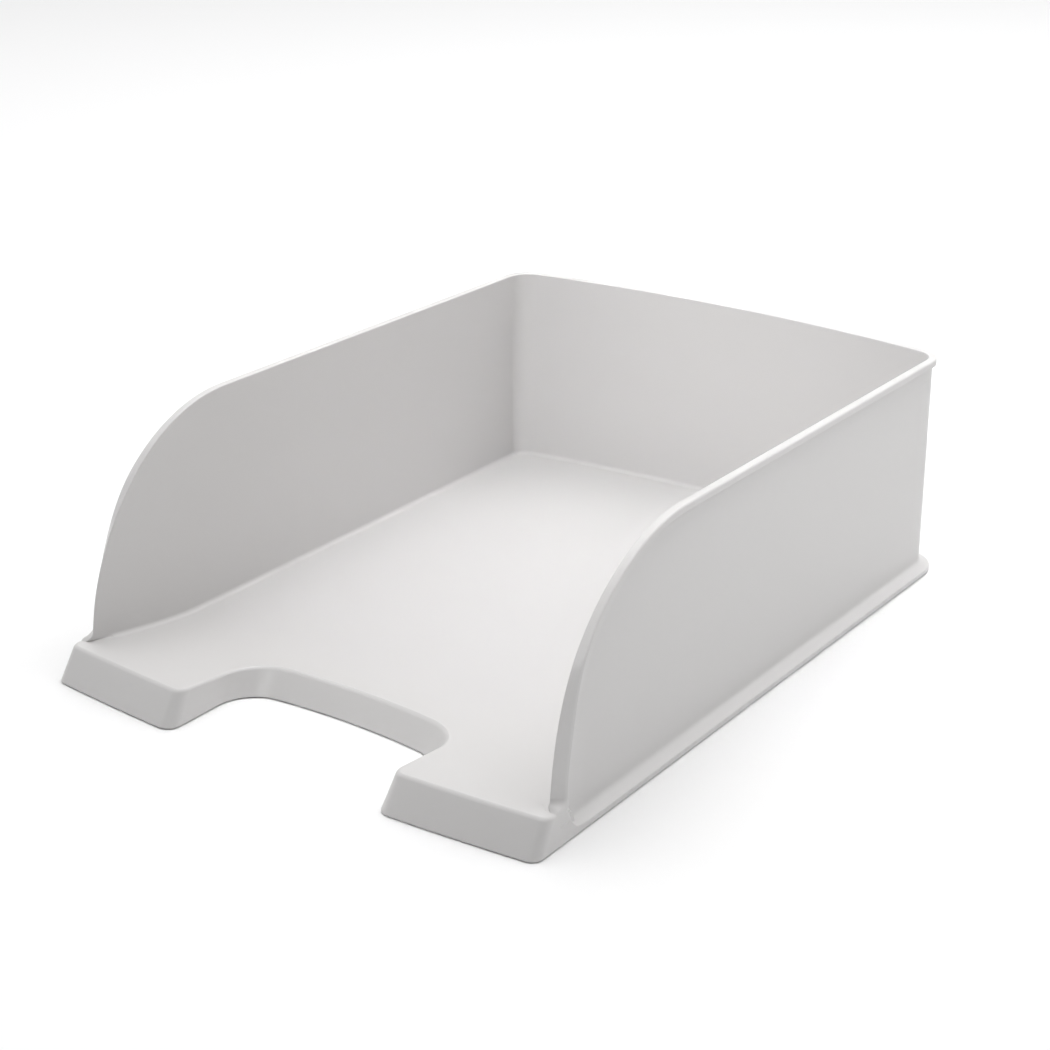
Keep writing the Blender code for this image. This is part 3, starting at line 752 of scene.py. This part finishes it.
r = under["padRadius"]
t = under["padThick"]
padProfile = [(0.0, 0.0), (r * 0.5, 0.0), (r - 0.7, 0.0), (r - 0.35, 0.06), (r - 0.1, 0.25)]
padProfile += [(r, 0.55), (r, t - 0.3), (r - 0.15, t - 0.08), (r - 0.45, t), (0.0, t)]
pads = {
    "front_left": (-1, under["padFront"]),
    "front_right": (1, under["padFront"]),
    "rear_left": (-1, under["padBack"]),
    "rear_right": (1, under["padBack"]),
}
padPieces = []
for corner, (side, y) in pads.items():
    x, yy, z = turned(padProfile, (side * under["padX"], y))
    mesh = bpy.data.meshes.new("rubberPad")
    points = toMetres(x, yy, z).reshape(-1, 3)
    mesh.from_pydata(points.tolist(), [], gridFaces(*x.shape, flip=True)[:, ::-1].tolist())
    work = bmesh.new()
    work.from_mesh(mesh)
    bmesh.ops.remove_doubles(work, verts=work.verts, dist=2e-6)
    bmesh.ops.recalc_face_normals(work, faces=work.faces)
    work.to_mesh(mesh)
    work.free()
    mesh.shade_smooth()
    piece = addPiece("pad" + corner.title().replace("_", ""), mesh)
    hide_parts("pad_" + corner)
    padPieces.append(piece)
print("pads made:", len(padPieces))


class Link:
    # a node socket that ordinary + - * signs work on, each adding its Math node
    def __init__(self, maker, socket):
        self.maker = maker
        self.socket = socket

    def join(self, operation, first, second):
        node = self.maker.node("ShaderNodeMath", {"operation": operation}, {0: first, 1: second})
        return Link(self.maker, node.outputs[0])

    def __add__(self, other):
        return self.join("ADD", self, other)

    def __radd__(self, other):
        return self.join("ADD", other, self)

    def __sub__(self, other):
        return self.join("SUBTRACT", self, other)

    def __rsub__(self, other):
        return self.join("SUBTRACT", other, self)

    def __mul__(self, other):
        return self.join("MULTIPLY", self, other)

    def __rmul__(self, other):
        return self.join("MULTIPLY", other, self)


class MaterialMaker:
    def __init__(self, name):
        self.material = bpy.data.materials.new(name)
        self.material.use_nodes = True
        self.tree = self.material.node_tree
        self.shader = self.tree.nodes["Principled BSDF"]

    def node(self, kind, settings=None, values=None):
        # one node: its settings first, then the values or links of its sockets
        made = self.tree.nodes.new(kind)
        for key, value in (settings or {}).items():
            setattr(made, key, value)
        for key, value in (values or {}).items():
            self.feed(made.inputs[key], value)
        return made

    def feed(self, socket, value):
        if isinstance(value, Link):
            self.tree.links.new(value.socket, socket)
        elif isinstance(value, bpy.types.NodeSocket):
            self.tree.links.new(value, socket)
        else:
            socket.default_value = value

    def noise(self, place, scale, detail, roughness=0.5):
        values = {"Vector": place, "Scale": scale, "Detail": detail, "Roughness": roughness}
        made = self.node("ShaderNodeTexNoise", {"noise_dimensions": "3D"}, values)
        return Link(self, made.outputs["Fac"])

    def colourBetween(self, share, a, b):
        made = self.node("ShaderNodeMix", {"data_type": "RGBA"}, {0: share, 6: (*a, 1), 7: (*b, 1)})
        return made.outputs[2]

    def finish(self, values):
        for key, value in values.items():
            self.feed(self.shader.inputs[key], value)
        return self.material


plastic = {
    "light": (0.655, 0.645, 0.640),
    "deep": (0.630, 0.619, 0.613),
    "roughness": 0.36,
    "roughnessDrift": 0.10,
    "grainScale": 1500.0,
    "grainHeight": 0.00002,
    "grainStrength": 0.12,
    "flowScale": 9.0,
    "flowStrength": 0.05,
    "flowHeight": 0.0006,
    "rubStretch": (340.0, 26.0, 340.0),
    "rubBetween": (0.62, 0.78),
    "rubRoughness": 0.05,
    "ior": 1.53,
}


def satinPlastic():
    # mould grain, slow colour and gloss drift, faint flow waves and a few rubbed patches
    maker = MaterialMaker("satinPolystyrene")
    place = maker.node("ShaderNodeTexCoord").outputs["Object"]
    slow = maker.noise(place, 6.0, 2.0)
    cloud = maker.noise(place, 42.0, 3.0, 0.55)
    grain = maker.noise(place, plastic["grainScale"], 2.0, 0.6)
    flow = maker.noise(place, plastic["flowScale"], 1.0)
    stretch = {"Vector": place, "Scale": plastic["rubStretch"]}
    stretched = maker.node("ShaderNodeMapping", {"vector_type": "POINT"}, stretch).outputs[0]
    patches = {"Vector": stretched, "Scale": 1.0, "Detail": 3.0}
    rubbed = maker.node("ShaderNodeTexNoise", {}, patches)
    low, high = plastic["rubBetween"]
    spans = {0: rubbed.outputs["Fac"], 1: low, 2: high, 3: 0.0, 4: 1.0}
    rub = maker.node("ShaderNodeMapRange", {"clamp": True}, spans)
    rubs = Link(maker, rub.outputs[0])
    share = slow * 0.7 + cloud * 0.3
    colour = maker.colourBetween(share, plastic["deep"], plastic["light"])
    drift = (cloud - 0.5) * plastic["roughnessDrift"] + rubs * plastic["rubRoughness"]
    grainSockets = {
        "Strength": plastic["grainStrength"],
        "Distance": plastic["grainHeight"],
        "Height": grain,
    }
    fine = maker.node("ShaderNodeBump", {}, grainSockets)
    flowSockets = {
        "Strength": plastic["flowStrength"],
        "Distance": plastic["flowHeight"],
        "Height": flow,
        "Normal": fine.outputs[0],
    }
    wave = maker.node("ShaderNodeBump", {}, flowSockets)
    looks = {
        "Base Color": colour,
        "Roughness": drift + plastic["roughness"],
        "Normal": wave.outputs[0],
        "IOR": plastic["ior"],
    }
    return maker.finish(looks)


rubber = {
    "light": (0.34, 0.335, 0.33),
    "deep": (0.27, 0.265, 0.26),
    "roughness": 0.72,
    "roughnessDrift": 0.2,
    "dustScale": 260.0,
    "poreScale": 1900.0,
    "poreStrength": 0.3,
    "poreHeight": 0.00008,
}


def padRubber():
    # soft matt rubber with fine pores and dust
    maker = MaterialMaker("padRubber")
    place = maker.node("ShaderNodeTexCoord").outputs["Object"]
    dust = maker.noise(place, rubber["dustScale"], 4.0, 0.6)
    pores = maker.noise(place, rubber["poreScale"], 2.0, 0.6)
    bumpSockets = {
        "Strength": rubber["poreStrength"],
        "Distance": rubber["poreHeight"],
        "Height": pores,
    }
    bump = maker.node("ShaderNodeBump", {}, bumpSockets)
    looks = {
        "Base Color": maker.colourBetween(dust, rubber["deep"], rubber["light"]),
        "Roughness": (dust - 0.5) * rubber["roughnessDrift"] + rubber["roughness"],
        "Normal": bump.outputs[0],
    }
    return maker.finish(looks)


satin = satinPlastic()
for piece in (trayPiece, ribPiece):
    piece.data.materials.append(satin)
soft = padRubber()
for piece in padPieces:
    piece.data.materials.append(soft)
for name in ("letterTray", "trayRibs"):
    keepFlat = bpy.data.objects[name].modifiers.new("keep flats flat", "WEIGHTED_NORMAL")
    keepFlat.mode = "FACE_AREA"
    keepFlat.weight = 50
    keepFlat.keep_sharp = True
print("materials made")

studio = {
    "floorSize": 12.0,
    "floorColour": (0.95, 0.95, 0.95),
    "worldDark": (0.06, 0.06, 0.065),
    "worldBright": (1.0, 1.0, 1.0),
    "worldToward": (-0.5, 0.85, 0.15),
    "worldFrom": -0.8,
    "worldTo": 0.5,
    "keyPower": 31.0,
    "keySize": 2.4,
    "keyPlace": (0.1, 0.8, 2.1),
    "insidePower": 0.3,
    "wallPower": 0.03,
    "wallSize": 0.25,
    "wallSpread": 16.0,
    "wallPlace": (0.95, 0.0, 0.95),
    "wallAim": (-0.12, 0.05, 0.055),
    "insideSize": 0.35,
    "insideSpread": 17.0,
    "insidePlace": (0.2, -1.35, 1.25),
    "insideAim": (0.0, 0.2, 0.09),
    "leftPower": 0.06,
    "leftSize": 0.12,
    "leftPlace": (-0.42, -0.5, 0.2),
    "leftAim": (-0.1, -0.17, 0.01),
}


def areaLight(name, place, power, size, aim=(0.0, 0.0, 0.04)):
    light = bpy.data.lights.new(name, "AREA")
    light.energy = power
    light.shape = "DISK"
    light.size = size
    lamp = bpy.data.objects.new(name, light)
    away = Vector(place) - Vector(aim)
    lamp.location = place
    lamp.rotation_euler = away.to_track_quat("Z", "Y").to_euler()
    bpy.context.scene.collection.objects.link(lamp)
    return lamp


def studioFloor():
    half = studio["floorSize"] / 2
    mesh = bpy.data.meshes.new("studioFloor")
    corners = [(-half, -half, 0), (half, -half, 0), (half, half, 0), (-half, half, 0)]
    mesh.from_pydata(corners, [], [(0, 1, 2, 3)])
    maker = MaterialMaker("paleFloor")
    place = maker.node("ShaderNodeTexCoord").outputs["Object"]
    tone = maker.noise(place, 3.0, 2.0)
    colour = studio["floorColour"]
    near = tuple(c * 0.995 for c in colour)
    mesh.materials.append(
        maker.finish({"Base Color": maker.colourBetween(tone, near, colour), "Roughness": 0.9})
    )
    floor = bpy.data.objects.new("studioFloor", mesh)
    bpy.context.scene.collection.objects.link(floor)


studioFloor()
world = bpy.data.worlds.new("softWorld")
world.use_nodes = True
sky = world.node_tree
toward = sky.nodes.new("ShaderNodeTexCoord").outputs["Generated"]
along = sky.nodes.new("ShaderNodeVectorMath")
along.operation = "DOT_PRODUCT"
along.inputs[1].default_value = studio["worldToward"]
sky.links.new(toward, along.inputs[0])
share = sky.nodes.new("ShaderNodeMapRange")
share.inputs[1].default_value = studio["worldFrom"]
share.inputs[2].default_value = studio["worldTo"]
sky.links.new(along.outputs["Value"], share.inputs[0])
shade = sky.nodes.new("ShaderNodeMix")
shade.data_type = "RGBA"
shade.inputs[6].default_value = (*studio["worldDark"], 1.0)
shade.inputs[7].default_value = (*studio["worldBright"], 1.0)
sky.links.new(share.outputs[0], shade.inputs[0])
sky.links.new(shade.outputs[2], sky.nodes["Background"].inputs["Color"])
bpy.context.scene.world = world
bpy.context.scene.view_settings.view_transform = "Standard"
areaLight("keyLight", studio["keyPlace"], studio["keyPower"], studio["keySize"])
inside = areaLight(
    "insideLight",
    studio["insidePlace"],
    studio["insidePower"],
    studio["insideSize"],
    studio["insideAim"],
)
inside.data.spread = math.radians(studio["insideSpread"])
across = areaLight(
    "wallLight",
    studio["wallPlace"],
    studio["wallPower"],
    studio["wallSize"],
    studio["wallAim"],
)
across.data.spread = math.radians(studio["wallSpread"])
areaLight(
    "leftLight",
    studio["leftPlace"],
    studio["leftPower"],
    studio["leftSize"],
    studio["leftAim"],
)

# where the camera stands, from the tray's front edge, in millimetres; angles in degrees
view = {
    "x": 500.5,
    "y": -523.0,
    "z": 405.0,
    "turn": 35.72,
    "down": 22.70,
    "roll": 0.10,
    "lens": 71.80,
}


def placeCamera():
    camera = bpy.data.cameras.new("studioCamera")
    camera.lens = view["lens"]
    camera.sensor_width = 36.0
    camera.sensor_fit = "HORIZONTAL"
    camera.clip_start = 0.01
    turn, down, roll = (math.radians(view[k]) for k in ("turn", "down", "roll"))
    back = Vector(
        (math.sin(turn) * math.cos(down), -math.cos(turn) * math.cos(down), math.sin(down))
    )
    right = Vector((math.cos(turn), math.sin(turn), 0.0))
    up = back.cross(right)
    rolledRight = right * math.cos(roll) + up * math.sin(roll)
    rolledUp = up * math.cos(roll) - right * math.sin(roll)
    placed = bpy.data.objects.new("studioCamera", camera)
    axes = Matrix((rolledRight, rolledUp, back)).transposed().to_4x4()
    spot = toMetres(np.array(view["x"]), np.array(view["y"]), np.array(view["z"]))
    placed.matrix_world = Matrix.Translation(Vector(spot.tolist())) @ axes
    bpy.context.scene.collection.objects.link(placed)
    bpy.context.scene.camera = placed


placeCamera()
print("floor, lights and camera placed")
